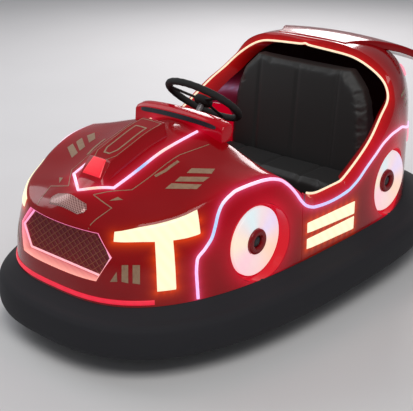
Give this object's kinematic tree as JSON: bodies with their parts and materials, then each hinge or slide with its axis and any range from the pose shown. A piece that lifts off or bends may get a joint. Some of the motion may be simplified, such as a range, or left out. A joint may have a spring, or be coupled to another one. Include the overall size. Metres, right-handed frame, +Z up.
{
  "type": "two-seat battery bumper car",
  "caption": "Low fairground car with a rubber ring bumper, a red moulded body with light strips, a bench in a hooped tail, a steered drive wheel and two rear wheels.",
  "frame": {"origin": "on the floor, under the middle of the bumper ring", "axes": "+Z up, the nose points along -Y, the car's left side is +X"},
  "size_m": [1.132, 1.95, 0.8496],
  "materials": {
    "red_shell": "glossy red gel coat over glass fibre",
    "wheel_rubber": "matt black solid rubber",
    "ring_rubber": "glossy black rubber",
    "grip_rubber": "satin black moulded rim",
    "seat_vinyl": "black vinyl, sewn",
    "black_plastic": "grained black plastic",
    "steel": "grey painted steel",
    "white_light": "lit white-pink diffuser",
    "cream_light": "lit cream diffuser",
    "pink_light": "lit pink diffuser",
    "yellow_light": "lit pale yellow diffuser",
    "ring_light": "lit pale ring",
    "red_light": "lit red diffuser",
    "grille_bronze": "bronze wire mesh",
    "badge": "pale satin plate, blank"
  },
  "bodies": {
    "root": {"accelerator_pedal": "steel", "base_plate": "steel", "battery_block": "black_plastic", "bonnet_block": "red_shell", "bonnet_light": "white_light", "bumper_channel": "steel", "bumper_ring": "ring_rubber", "chassis_rails": "steel", "column_sleeve": "steel", "dash_pod": "red_shell", "front_shell": "red_shell", "grille_frame": "black_plastic", "grille_light": "pink_light", "grille_mesh": "grille_bronze", "headlight_left": "yellow_light", "headlight_right": "yellow_light", "nose_plate": "badge", "nose_strip": "red_light", "rear_axle": "steel", "rear_lamp_left": "pink_light", "rear_lamp_right": "pink_light", "rim_light": "cream_light", "roof_deck": "red_shell", "seat_back": "seat_vinyl", "seat_base": "black_plastic", "seat_cushion": "seat_vinyl", "side_light_left": "white_light", "side_light_right": "white_light", "sill_left": "red_shell", "sill_light_left": "yellow_light", "sill_light_right": "yellow_light", "sill_right": "red_shell", "tail_lamp_left": "pink_light", "tail_lamp_right": "pink_light", "tail_shell": "red_shell", "toe_board": "black_plastic", "wheel_light_front_left": "ring_light", "wheel_light_front_right": "ring_light", "wheel_light_rear_left": "ring_light", "wheel_light_rear_right": "ring_light", "wheel_pan_front_left": "black_plastic", "wheel_pan_front_right": "black_plastic", "wheel_pan_rear_left": "black_plastic", "wheel_pan_rear_right": "black_plastic"},
    "steering": {"steering_wheel": "grip_rubber", "steering_shaft": "steel"},
    "drive_unit": {"drive_fork": "steel"},
    "drive_wheel": {"drive_wheel_tyre": "wheel_rubber", "drive_wheel_hub": "steel"},
    "rear_wheel_left": {"rear_wheel_left_tyre": "wheel_rubber", "rear_wheel_left_hub": "steel"},
    "rear_wheel_right": {"rear_wheel_right_tyre": "wheel_rubber", "rear_wheel_right_hub": "steel"}
  },
  "joints": [
    {"name": "steering_turn", "type": "hinge", "parent": "root", "child": "steering", "pos_m": [0, -0.18029, 0.715], "axis": [0, 0.6244, 0.7811], "continuous": true},
    {"name": "drive_steer", "type": "hinge", "parent": "root", "child": "drive_unit", "pos_m": [0, -0.52004, 0.17], "axis": [0, 0, 1], "continuous": true},
    {"name": "drive_roll", "type": "hinge", "parent": "drive_unit", "child": "drive_wheel", "pos_m": [0, -0.52004, 0.1], "axis": [1, 0, 0], "continuous": true},
    {"name": "rear_left_roll", "type": "hinge", "parent": "root", "child": "rear_wheel_left", "pos_m": [0.28, 0.50736, 0.1], "axis": [1, 0, 0], "continuous": true},
    {"name": "rear_right_roll", "type": "hinge", "parent": "root", "child": "rear_wheel_right", "pos_m": [-0.28, 0.50736, 0.1], "axis": [1, 0, 0], "continuous": true}
  ],
  "couplings": [
    {"joint": "drive_steer", "follows": "steering_turn", "ratio": 1}
  ]
}
